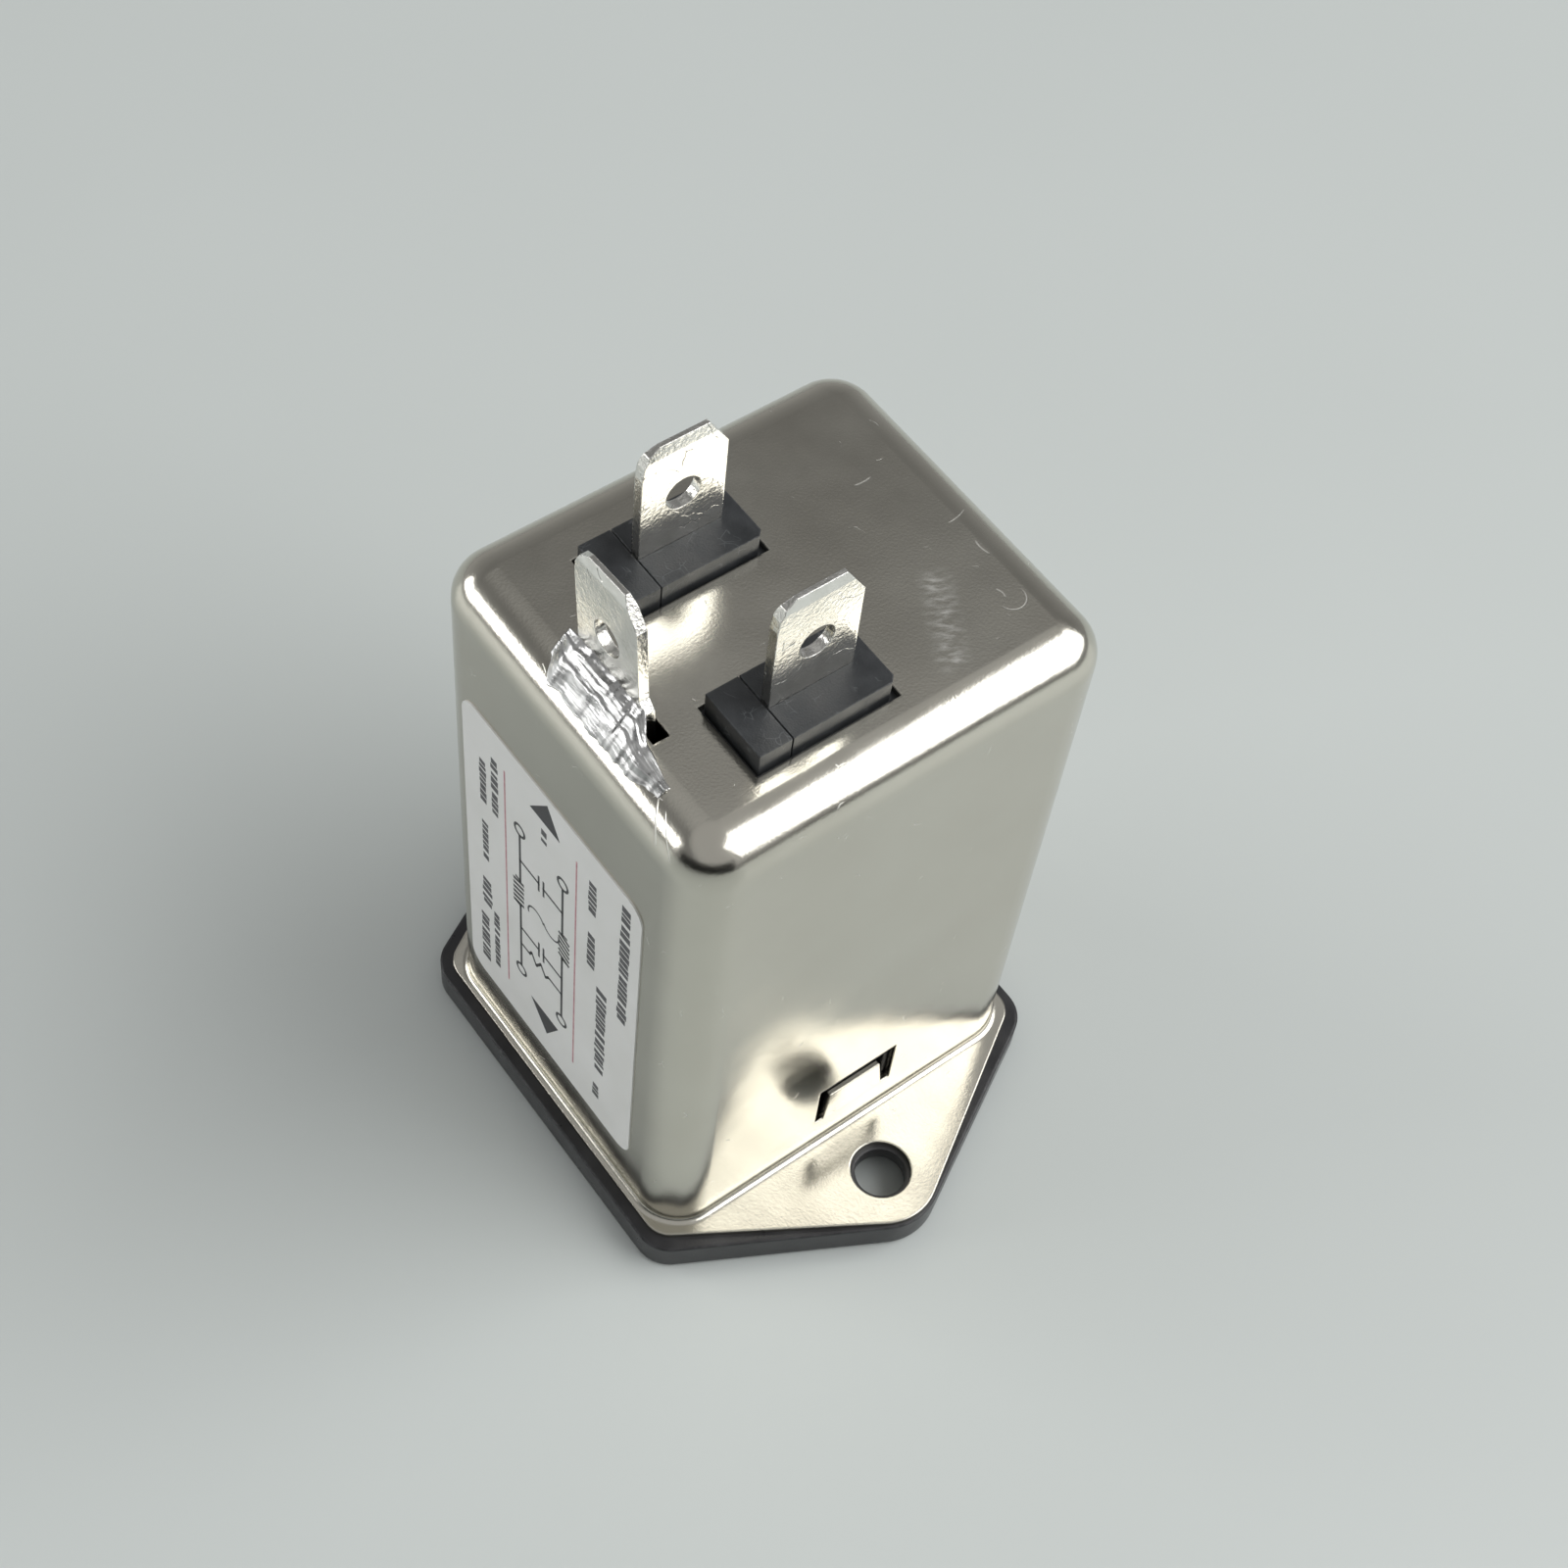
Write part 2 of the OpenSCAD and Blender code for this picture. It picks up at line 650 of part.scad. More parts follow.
// film capacitor across live and neutral, standing behind the socket
module x_capacitor() color([0.9, 0.75, 0.2]) {
  translate([0, x_cap_y, x_cap_z]) linear_extrude(x_cap[2])
    rounded_rect(x_cap[0], x_cap[1], x_cap_r);
  for (side = [0, 1]) mirror([side, 0, 0]) {
    tail = [pin_spacing / 2, pin_y + tail_w / 2, tail_top - 1];
    foot = [x_cap_pitch / 2, x_cap_y, x_cap_z];
    sweep(eased([foot + [0, 0, lead_root], [foot[0], foot[1], tail[2]],
                 [tail[0], foot[1] - lead_jog, tail[2]], tail], lead_bend),
          lead_d, 8, [1, 0, 0]);
  }
}

// ceramic disc from one line to earth, with two leads down to the pin tails
module y_capacitor() {
  root_z = y_cap_at[2] - y_cap_d / 2 + 1;
  outer_x = y_cap_at[0] + y_cap_pitch / 2;
  inner_x = y_cap_at[0] - y_cap_pitch / 2;
  line_tail = [pin_spacing / 2, pin_y - tail_w / 2, y_cap_lead_z];
  earth_tail = [tail_t / 2, -pin_y, y_cap_lead_z];
  translate([y_cap_at[0], y_cap_at[1] - y_cap_t / 2, y_cap_at[2]]) rotate([-90, 0, 0])
    rotate_extrude() difference() {
      square([y_cap_d / 2, y_cap_t]);
      for (z = [0, y_cap_t]) translate([y_cap_d / 2, z]) rotate(45)
        square(y_cap_rim, center = true);
    }
  sweep(eased([[outer_x, y_cap_at[1], root_z], [outer_x, y_cap_at[1], y_cap_lead_z],
               [line_tail[0], y_cap_at[1] + lead_jog, y_cap_lead_z], line_tail], lead_bend),
        lead_d, 8, [1, 0, 0]);
  sweep(eased([[inner_x, y_cap_at[1], root_z], [inner_x, y_cap_at[1], y_cap_lead_z],
               [inner_x, earth_tail[1], y_cap_lead_z], earth_tail], lead_bend),
        lead_d, 8, [1, 0, 0]);
}

module live_y_capacitor() color([0.2, 0.45, 0.75]) y_capacitor();
module neutral_y_capacitor() color([0.2, 0.45, 0.75]) mirror([1, 0, 0]) y_capacitor();

// resistor across live and neutral that drains the capacitors
module bleed_resistor() color([0.75, 0.6, 0.42]) {
  translate(resistor_at) rotate([0, 90, 0]) rotate_extrude() {
    translate([0, -resistor_l / 2]) square([resistor_d / 2 - resistor_waist, resistor_l]);
    for (end = [0, 1]) mirror([0, end]) translate([0, resistor_l / 2 - resistor_cap_l])
      square([resistor_d / 2, resistor_cap_l]);
  }
  for (side = [0, 1]) mirror([side, 0, 0])
    sweep(eased([resistor_at + [resistor_l / 2 - lead_root, 0, 0],
                 [pin_spacing / 2, resistor_at[1], resistor_at[2]],
                 [pin_spacing / 2, pin_y + tail_w / 2, resistor_at[2]]], lead_bend),
          lead_d, 8, [0, 0, 1]);
}

// insulated lead from the earth pin up the label side to the tail of the earth blade
module earth_lead() color([0.35, 0.6, 0.2]) {
  start = [0, -pin_y, tail_top];
  down = [sin(earth_lean), 0, -cos(earth_lean)];
  end = [earth_x, earth_y, can_top] + (can_top - earth_tail_z) * down;
  sweep(eased([start, [0, -pin_y, earth_lead_z[0]], [0, earth_lead_y, earth_lead_z[0]],
               [0, earth_lead_y, earth_lead_z[1]], end + earth_lead_end * down, end],
              earth_lead_bend), earth_lead_d, 8, [1, 0, 0]);
}

steel_can();
inlet_housing();
live_pin();
neutral_pin();
earth_pin();
live_insulator();
neutral_insulator();
live_tab();
neutral_tab();
earth_tab();
earth_solder();
printed_label();
insulating_liner();
choke_core();
choke_divider();
live_winding();
neutral_winding();
x_capacitor();
live_y_capacitor();
neutral_y_capacitor();
bleed_resistor();
earth_lead();
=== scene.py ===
# Mains appliance inlet with a built-in line filter, standing face down on its screw flange.
import math
import random

import bmesh
import bpy
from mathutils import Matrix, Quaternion, Vector, noise


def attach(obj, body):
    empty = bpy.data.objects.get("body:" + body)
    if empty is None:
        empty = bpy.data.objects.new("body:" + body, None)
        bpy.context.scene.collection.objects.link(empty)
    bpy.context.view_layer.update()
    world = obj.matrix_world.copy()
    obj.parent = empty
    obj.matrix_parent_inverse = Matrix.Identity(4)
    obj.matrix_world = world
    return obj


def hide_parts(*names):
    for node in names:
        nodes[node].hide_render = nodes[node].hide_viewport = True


bpy.ops.wm.read_factory_settings(use_empty=True)
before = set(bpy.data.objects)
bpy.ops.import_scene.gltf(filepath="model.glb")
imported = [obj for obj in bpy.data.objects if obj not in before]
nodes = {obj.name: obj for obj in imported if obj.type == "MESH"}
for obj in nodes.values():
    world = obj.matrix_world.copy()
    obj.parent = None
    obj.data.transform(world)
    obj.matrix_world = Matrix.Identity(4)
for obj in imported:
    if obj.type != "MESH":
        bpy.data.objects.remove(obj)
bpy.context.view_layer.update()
MM = 0.001

# ---------------------------------------------------------------- steel can
# The can is drawn in one piece from thin steel and nickel plated. Its brim turns out over the
# moulded flange, and a tongue lanced from each end wall latches the moulding. The plating has a
# fine orange peel, and the closed end carries a rubbed patch and a few stray scratches.


def new_group(name, inputs, outputs):
    """A shader node group with named sockets, as (tree, its inputs by name, its output node)."""
    tree = bpy.data.node_groups.new(name, "ShaderNodeTree")
    for label, kind, value in inputs:
        socket = tree.interface.new_socket(label, in_out="INPUT", socket_type="NodeSocket" + kind)
        if value is not None:
            socket.default_value = value
    for label, kind in outputs:
        tree.interface.new_socket(label, in_out="OUTPUT", socket_type="NodeSocket" + kind)
    given = tree.nodes.new("NodeGroupInput")
    return tree, given.outputs, tree.nodes.new("NodeGroupOutput")


def put(tree, kind, sockets, **settings):
    """Adds a node, sets it up, and links or fills its sockets."""
    made = tree.nodes.new("ShaderNode" + kind)
    for key, value in settings.items():
        setattr(made, key, value)
    for key, value in sockets.items():
        if isinstance(value, bpy.types.NodeSocket):
            tree.links.new(value, made.inputs[key])
        else:
            made.inputs[key].default_value = value
    return made


def maths(tree, operation, a, b=0.0):
    return put(tree, "Math", {0: a, 1: b}, operation=operation).outputs[0]


def vector_maths(tree, operation, a, b):
    return put(tree, "VectorMath", {0: a, 1: b}, operation=operation)


def remap(tree, value, low, high, to_low=0.0, to_high=1.0):
    """Value from the range low to high, clamped, to the range to_low to to_high."""
    sockets = {"Value": value, "From Min": low, "From Max": high}
    sockets.update({"To Min": to_low, "To Max": to_high})
    return put(tree, "MapRange", sockets).outputs["Result"]


def mix_colour(tree, factor, a, b):
    return put(tree, "Mix", {0: factor, 6: a, 7: b}, data_type="RGBA").outputs[2]


def effect(tree, group, **sockets):
    """Places a shared effect in a material, with this material's own values."""
    made = tree.nodes.new("ShaderNodeGroup")
    made.node_tree = group
    for key, value in sockets.items():
        label = key.replace("_", " ")
        if isinstance(value, bpy.types.NodeSocket):
            tree.links.new(value, made.inputs[label])
        else:
            made.inputs[label].default_value = value
    return made.outputs[0]


def new_material(name, colour, metallic=0.0, roughness=0.4):
    """A material, its tree, its shader, and object coordinates counted in millimetres."""
    material = bpy.data.materials.new(name)
    material.use_nodes = True
    tree = material.node_tree
    shader = tree.nodes["Principled BSDF"]
    shader.inputs["Base Color"].default_value = (*colour, 1)
    shader.inputs["Metallic"].default_value = metallic
    shader.inputs["Roughness"].default_value = roughness
    place = tree.nodes.new("ShaderNodeTexCoord").outputs["Object"]
    scaled = put(tree, "VectorMath", {0: place, "Scale": 1 / MM}, operation="SCALE")
    return material, tree, shader, scaled.outputs[0]


def finish_surface(tree, shader, height, depth, colour=None, roughness=None, edge_radius=0.0):
    """Joins colour, roughness and relief to the shader. Depth and radius are in millimetres."""
    if colour is not None:
        tree.links.new(colour, shader.inputs["Base Color"])
    if roughness is not None:
        tree.links.new(roughness, shader.inputs["Roughness"])
    bump = put(tree, "Bump", {"Height": height, "Distance": depth * MM})
    if edge_radius:
        soft = put(tree, "Bevel", {"Radius": edge_radius * MM}, samples=6)
        tree.links.new(soft.outputs[0], bump.inputs["Normal"])
    tree.links.new(bump.outputs[0], shader.inputs["Normal"])


def dress(node, material):
    """Gives a carried-over node its finished material."""
    mesh = nodes[node].data
    mesh.materials.clear()
    mesh.materials.append(material)


# Slow clouds: the light and dark patches of plating, haze and handling.
mottle, given, result = new_group(
    "mottle", [("Vector", "Vector", None), ("Scale", "Float", 0.2), ("Detail", "Float", 3.0)],
    [("Value", "Float")])
cloud = put(mottle, "TexNoise", {"Vector": given["Vector"], "Scale": given["Scale"],
                                 "Detail": given["Detail"]}).outputs[0]
mottle.links.new(remap(mottle, cloud, 0.3, 0.7), result.inputs["Value"])

# Hairline scratches: broken, gently curved lines left by handling.
hairlines, given, result = new_group(
    "hairlines", [("Vector", "Vector", None), ("Scale", "Float", 0.3), ("Width", "Float", 0.02),
                  ("Amount", "Float", 0.3)], [("Mask", "Float")])
wander = put(hairlines, "TexNoise", {"Vector": given["Vector"], "Scale": 0.35}).outputs["Color"]
warp = put(hairlines, "VectorMath", {0: wander, "Scale": 3.0}, operation="SCALE").outputs[0]
bent = vector_maths(hairlines, "ADD", given["Vector"], warp).outputs[0]
cells = put(hairlines, "TexVoronoi", {"Vector": bent, "Scale": given["Scale"]},
            feature="DISTANCE_TO_EDGE").outputs["Distance"]
line = remap(hairlines, cells, 0.0, given["Width"], 1.0, 0.0)
breaks = put(hairlines, "TexNoise", {"Vector": given["Vector"], "Scale": 0.6}).outputs[0]
least = maths(hairlines, "SUBTRACT", 1.0, given["Amount"])
shown = remap(hairlines, breaks, least, maths(hairlines, "ADD", least, 0.05))
hairlines.links.new(maths(hairlines, "MULTIPLY", line, shown), result.inputs["Mask"])

# Rubbed and highlit edges: where a bevelled normal parts from the flat one, an edge is marked, partly
# as rubbed wear and partly as a painted edge highlight.
edge_wear_and_highlight_group, given, result = new_group(
    "edge_wear_and_painted_highlight", [("Radius", "Float", 0.3 * MM), ("Vector", "Vector", None),
                     ("Breakup", "Float", 1.0)], [("Mask", "Float")])
soft_normal = put(edge_wear_and_highlight_group, "Bevel", {"Radius": given["Radius"]}, samples=4).outputs[0]
flat_normal = edge_wear_and_highlight_group.nodes.new("ShaderNodeNewGeometry").outputs["Normal"]
parting = vector_maths(edge_wear_and_highlight_group, "DOT_PRODUCT", soft_normal, flat_normal).outputs["Value"]
edge = remap(edge_wear_and_highlight_group, parting, 0.99, 0.85)
patchy = put(edge_wear_and_highlight_group, "TexNoise", {"Vector": given["Vector"], "Scale": given["Breakup"],
                                  "Detail": 4.0}).outputs[0]
worn_and_highlit = maths(edge_wear_and_highlight_group, "MULTIPLY", edge, remap(edge_wear_and_highlight_group, patchy, 0.4, 0.6))
edge_wear_and_highlight_group.links.new(worn_and_highlit, result.inputs["Mask"])

# Scratch along an arc, seen from above: sharp in width and faded towards both its ends.
arc_scratch, given, result = new_group(
    "arc_scratch", [("Vector", "Vector", None), ("Centre", "Vector", None), ("Radius", "Float", 1.0),
                    ("Middle", "Float", 0.0), ("Spread", "Float", 1.0), ("Width", "Float", 0.1)],
    [("Mask", "Float")])
away = vector_maths(arc_scratch, "SUBTRACT", given["Vector"], given["Centre"]).outputs[0]
flat_away = vector_maths(arc_scratch, "MULTIPLY", away, (1, 1, 0)).outputs[0]
reach = put(arc_scratch, "VectorMath", {0: flat_away}, operation="LENGTH").outputs["Value"]
off_line = maths(arc_scratch, "ABSOLUTE", maths(arc_scratch, "SUBTRACT", reach, given["Radius"]))
across = remap(arc_scratch, off_line, 0.0, given["Width"], 1.0, 0.0)
parts = put(arc_scratch, "SeparateXYZ", {0: away}).outputs
angle = maths(arc_scratch, "ARCTAN2", parts["Y"], parts["X"])
turned = maths(arc_scratch, "ABSOLUTE", maths(arc_scratch, "SUBTRACT", angle, given["Middle"]))
along = remap(arc_scratch, maths(arc_scratch, "DIVIDE", turned, given["Spread"]), 0.7, 1.0, 1.0, 0.0)
near_top = remap(arc_scratch, maths(arc_scratch, "ABSOLUTE", parts["Z"]), 2.0, 2.2, 1.0, 0.0)
scratched = maths(arc_scratch, "MULTIPLY", maths(arc_scratch, "MULTIPLY", across, along), near_top)
arc_scratch.links.new(scratched, result.inputs["Mask"])

CAN_TOP = 54.8
RUB_START, RUB_END, RUB_HALF_WIDTH = Vector((4.2, 9.6, 0)), Vector((11.0, 5.8, 0)), 1.5
SCRATCHES = (
    # centre, radius, middle angle and half spread, line width
    ((8.55, 12.55, CAN_TOP), 1.0, 0.2, 1.6, 0.07),
    ((8.0, 11.4, CAN_TOP), 0.9, 1.7, 0.55, 0.08),
    ((-1.5, 13.2, CAN_TOP), 2.9, 0.25, 0.34, 0.06),
    ((4.1, 15.6, CAN_TOP), 2.1, -1.5, 0.36, 0.09),
    ((-7.6, 10.4, CAN_TOP), 3.1, 0.0, 0.24, 0.08),
    ((14.6, -9.4, CAN_TOP), 8.6, -2.1, 0.34, 0.07),
    ((14.3, -9.2, CAN_TOP), 8.0, -2.05, 0.2, 0.04),
)

nickel, tree, shader, place = new_material("nickel_plated_steel", (0.60, 0.565, 0.495), 1.0, 0.14)
haze = effect(tree, mottle, Vector=place, Scale=0.09, Detail=4.0)
smears = effect(tree, mottle, Vector=place, Scale=0.5, Detail=6.0)
lines = effect(tree, hairlines, Vector=place, Scale=0.22, Width=0.010, Amount=0.36)
for centre, radius, middle, spread, width in SCRATCHES:
    mark = effect(tree, arc_scratch, Vector=place, Centre=centre, Radius=radius, Middle=middle,
                  Spread=spread, Width=width)
    lines = maths(tree, "MAXIMUM", lines, mark)

# the rubbed patch is a slanting bar of short strokes on the closed end
rub_way = (RUB_END - RUB_START).normalized()
rub_side = Vector((-rub_way.y, rub_way.x, 0))
from_start = vector_maths(tree, "SUBTRACT", place, RUB_START).outputs[0]
along = vector_maths(tree, "DOT_PRODUCT", from_start, rub_way).outputs["Value"]
aside = vector_maths(tree, "DOT_PRODUCT", from_start, rub_side).outputs["Value"]
rub_length = (RUB_END - RUB_START).length
ends = maths(tree, "MULTIPLY", remap(tree, along, -0.6, 0.8),
             remap(tree, along, rub_length - 0.8, rub_length + 0.6, 1.0, 0.0))
sides = remap(tree, maths(tree, "ABSOLUTE", aside), 0.3, RUB_HALF_WIDTH, 1.0, 0.0)
stroke_place = put(tree, "CombineXYZ", {"X": maths(tree, "MULTIPLY", along, 2.6),
                                        "Y": maths(tree, "MULTIPLY", aside, 0.8)}).outputs[0]
strokes = put(tree, "TexNoise", {"Vector": stroke_place, "Scale": 1.0, "Detail": 4.0}).outputs[0]
on_top = remap(tree, put(tree, "SeparateXYZ", {0: place}).outputs["Z"], CAN_TOP - 1, CAN_TOP - 0.5)
rub = maths(tree, "MULTIPLY", maths(tree, "MULTIPLY", ends, sides), on_top)
rub = maths(tree, "MULTIPLY", rub, remap(tree, strokes, 0.42, 0.66))

colour = mix_colour(tree, haze, (0.58, 0.555, 0.485, 1), (0.62, 0.60, 0.53, 1))
colour = mix_colour(tree, maths(tree, "MAXIMUM", lines, rub), colour, (0.80, 0.79, 0.74, 1))
rough = maths(tree, "ADD", remap(tree, haze, 0, 1, 0.12, 0.17), remap(tree, smears, 0, 1, 0.0, 0.05))
rough = maths(tree, "ADD", rough, maths(tree, "MULTIPLY", lines, 0.3))
rough = maths(tree, "ADD", rough, maths(tree, "MULTIPLY", rub, 0.22))
waves = put(tree, "TexNoise", {"Vector": place, "Scale": 0.12, "Detail": 1.0}).outputs[0]
ripple = put(tree, "TexNoise", {"Vector": place, "Scale": 0.9, "Detail": 2.0}).outputs[0]
grain = put(tree, "TexNoise", {"Vector": place, "Scale": 5.0, "Detail": 2.0}).outputs[0]
relief = maths(tree, "ADD", waves, maths(tree, "MULTIPLY", ripple, 0.02))
relief = maths(tree, "ADD", relief, maths(tree, "MULTIPLY", grain, 0.06))
relief = maths(tree, "SUBTRACT", relief, maths(tree, "MULTIPLY", lines, 0.08))
finish_surface(tree, shader, relief, 0.10, colour, rough, edge_radius=0.22)
dress("steel_can", nickel)

# ---------------------------------------------------------------- inlet moulding
# Flange, socket and spigot are one black thermoplastic moulding with a fine matt skin. The brim
# of the can covers it from above, so only its rim shows beside the steel.
moulding, tree, shader, place = new_material("black_moulding", (0.018, 0.018, 0.02), 0.0, 0.5)
dusty = effect(tree, mottle, Vector=place, Scale=0.4, Detail=5.0)
edge_wear_and_highlight = effect(tree, edge_wear_and_highlight_group, Vector=place, Radius=0.35 * MM, Breakup=1.5)
colour = mix_colour(tree, dusty, (0.014, 0.014, 0.016, 1), (0.028, 0.028, 0.03, 1))
# the edges are painted lighter grey, partly rubbed wear and partly a painted edge highlight
colour = mix_colour(tree, maths(tree, "MULTIPLY", edge_wear_and_highlight, 0.5), colour, (0.09, 0.09, 0.095, 1))
skin = put(tree, "TexNoise", {"Vector": place, "Scale": 6.0, "Detail": 3.0}).outputs[0]
finish_surface(tree, shader, skin, 0.015, colour, remap(tree, dusty, 0, 1, 0.26, 0.42),
               edge_radius=0.4)
dress("inlet_housing", moulding)

# ---------------------------------------------------------------- contact pins
# Three solid brass pins, nickel plated, pressed through the floor of the socket.
pin_metal, tree, shader, place = new_material("plated_pin", (0.74, 0.72, 0.66), 1.0, 0.22)
smears = effect(tree, mottle, Vector=place, Scale=0.8, Detail=4.0)
lines = effect(tree, hairlines, Vector=place, Scale=0.9, Width=0.03, Amount=0.5)
colour = mix_colour(tree, smears, (0.70, 0.68, 0.61, 1), (0.78, 0.77, 0.72, 1))
finish_surface(tree, shader, maths(tree, "SUBTRACT", smears, lines), 0.01, colour,
               remap(tree, smears, 0, 1, 0.16, 0.3), edge_radius=0.12)
for name in ("live_pin", "neutral_pin", "earth_pin"):
    dress(name, pin_metal)

# ---------------------------------------------------------------- terminal insulators
# Two black mouldings carry the live and neutral blades through the can. Each stands a little
# proud of its opening, with a clipped end and a fine joint line beside the blade.
insulator_skin, tree, shader, place = new_material("insulator_moulding", (0.04, 0.043, 0.048))
dusty = effect(tree, mottle, Vector=place, Scale=0.7, Detail=6.0)
edge_wear_and_highlight = effect(tree, edge_wear_and_highlight_group, Vector=place, Radius=0.2 * MM, Breakup=2.5)
scuffs = effect(tree, hairlines, Vector=place, Scale=0.8, Width=0.03, Amount=0.45)
colour = mix_colour(tree, dusty, (0.02, 0.022, 0.024, 1), (0.036, 0.039, 0.042, 1))
# the edges are painted lighter grey, partly rubbed wear and dust and partly a painted edge highlight
colour = mix_colour(tree, maths(tree, "MULTIPLY", edge_wear_and_highlight, 0.6), colour, (0.11, 0.115, 0.12, 1))
colour = mix_colour(tree, maths(tree, "MULTIPLY", scuffs, 0.5), colour, (0.14, 0.15, 0.155, 1))
skin = put(tree, "TexNoise", {"Vector": place, "Scale": 7.0, "Detail": 4.0}).outputs[0]
finish_surface(tree, shader, skin, 0.02, colour, remap(tree, dusty, 0, 1, 0.36, 0.52),
               edge_radius=0.12)
for name in ("live_insulator", "neutral_insulator"):
    dress(name, insulator_skin)

# ---------------------------------------------------------------- blade terminals
# Blanked from brass strip and tin plated, with coined edges. The tin is pale and finely pitted,
# and the blanked edges keep the cross lines of the shear.
tin, tree, shader, place = new_material("tinned_blade", (0.74, 0.73, 0.68), 1.0, 0.3)
smears = effect(tree, mottle, Vector=place, Scale=0.6, Detail=5.0)
edge_wear_and_highlight = effect(tree, edge_wear_and_highlight_group, Vector=place, Radius=0.2 * MM, Breakup=3.0)
pits = put(tree, "TexNoise", {"Vector": place, "Scale": 3.5, "Detail": 5.0}).outputs[0]
lines = effect(tree, hairlines, Vector=place, Scale=0.5, Width=0.02, Amount=0.45)
colour = mix_colour(tree, smears, (0.70, 0.69, 0.64, 1), (0.80, 0.79, 0.75, 1))
# the edges are painted paler, partly rubbed tin and partly a painted edge highlight
colour = mix_colour(tree, edge_wear_and_highlight, colour, (0.86, 0.855, 0.83, 1))
rough = maths(tree, "ADD", remap(tree, smears, 0, 1, 0.13, 0.21), maths(tree, "MULTIPLY", edge_wear_and_highlight, 0.1))
relief = maths(tree, "ADD", pits, maths(tree, "MULTIPLY", edge_wear_and_highlight, 0.8))
relief = maths(tree, "SUBTRACT", relief, maths(tree, "MULTIPLY", lines, 0.6))
finish_surface(tree, shader, relief, 0.035, colour, rough, edge_radius=0.1)
for name in ("live_tab", "neutral_tab", "earth_tab"):
    dress(name, tin)

# ---------------------------------------------------------------- solder
# Bright solder run along the label side of the earth blade. It was drawn along the blade, so it
# froze in long folds, climbs the blade and feathers out over the rounded edge of the can.
SOLDER_START, SOLDER_END, SOLDER_RIM = -4.3, 8.4, -15.95
HEAD_LENGTH, TAIL_LENGTH = 1.5, 3.2
BLADE_FACE, BLADE_END = -13.3, 4.2
CLIMB, CLIMB_PAST_BLADE, BODY = 1.7, 0.35, 0.42
FOLD_DEPTH, FINE_FOLD_DEPTH = 0.16, 0.07
CRACK_X, CRACK_SLANT, CRACK_WIDTH, CRACK_DEPTH = 3.15, 0.25, 0.11, 0.13
SEAT_DEPTH = 0.02
EDGE_START, EDGE_RADIUS = -13.8, 3.2
ALONG_STEPS, DOWN_STEPS = 150, 44


def can_surface(y):
    """Height of the can's closed end and rounded edge at y, on the label side."""
    over = max(0.0, EDGE_START - y)
    return CAN_TOP - EDGE_RADIUS + math.sqrt(EDGE_RADIUS ** 2 - over ** 2)


def ease(value, low, high):
    """Zero below low, one above high, and a smooth rise between them."""
    t = min(max((value - low) / (high - low), 0.0), 1.0)
    return t * t * (3 - 2 * t)


def solder_point(x, s):
    """Point at x along the run and s from the blade to the outer rim of the solder."""
    wobble = noise.noise(Vector((x * 0.9, 3.1, 0))) + 0.5 * noise.noise(Vector((x * 2.7, 8.4, 0)))
    past_blade = ease(x, BLADE_END - 0.4, BLADE_END + 1.2)
    tail = ease(x, SOLDER_END - TAIL_LENGTH, SOLDER_END)
    head = 1 - ease(x, SOLDER_START, SOLDER_START + HEAD_LENGTH)
    inner = BLADE_FACE - 0.7 * past_blade - 0.5 * tail
    outer = SOLDER_RIM + 0.18 * wobble + 0.55 * tail + 1.1 * head
    y = inner + (outer - inner) * s
    on_blade = (CLIMB + 0.2 * wobble - 0.5 * head) * (1 - past_blade)
    beyond = CLIMB_PAST_BLADE * past_blade * (1 - tail)
    fillet = (on_blade + beyond) * (1 - s) ** 1.7
    body = BODY * math.sin(math.pi * min(1.0, s * 1.02)) ** 0.8 * (1 - 0.6 * tail) * (1 - 0.4 * head)
    folds = FOLD_DEPTH * noise.noise(Vector((x * 0.22, s * 6.5 + 0.12 * x, 1.7)))
    folds += FINE_FOLD_DEPTH * noise.noise(Vector((x * 0.5, s * 15 + 0.2 * x, 5.2)))
    off_crack = abs(x - CRACK_X - CRACK_SLANT * (s - 0.2))
    mid_run = ease(s, 0.12, 0.25) * (1 - ease(s, 0.65, 0.8))
    groove = CRACK_DEPTH * max(0.0, 1 - off_crack / CRACK_WIDTH) * mid_run
    depth = fillet + body + (folds - groove) * math.sin(math.pi * min(1.0, s + 0.02)) ** 0.5
    return Vector((x, y, can_surface(y) + max(depth, 0.0) + SEAT_DEPTH * (1 - s))) * MM


def solid_from_grid(name, top, bottom):
    """A closed mesh between two grids of points that share their number of rows and columns."""
    shell = bmesh.new()
    rows, columns = len(top), len(top[0])
    grids = [[[shell.verts.new(p) for p in row] for row in grid] for grid in (top, bottom)]
    for grid, flip in zip(grids, (False, True)):
        for i in range(rows - 1):
            for j in range(columns - 1):
                ring = [grid[i][j], grid[i + 1][j], grid[i + 1][j + 1], grid[i][j + 1]]
                shell.faces.new(ring[::-1] if flip else ring)
    rim = [(i, 0) for i in range(rows - 1)] + [(rows - 1, j) for j in range(columns - 1)]
    rim += [(i, columns - 1) for i in range(rows - 1, 0, -1)]
    rim += [(0, j) for j in range(columns - 1, 0, -1)]
    for k, (i, j) in enumerate(rim):
        m, n = rim[(k + 1) % len(rim)]
        shell.faces.new([grids[0][m][n], grids[0][i][j], grids[1][i][j], grids[1][m][n]])
    bmesh.ops.recalc_face_normals(shell, faces=shell.faces)
    for face in shell.faces:
        face.smooth = True
    mesh = bpy.data.meshes.new(name)
    shell.to_mesh(mesh)
    shell.free()
    made = bpy.data.objects.new(name, mesh)
    bpy.context.scene.collection.objects.link(made)
    return made


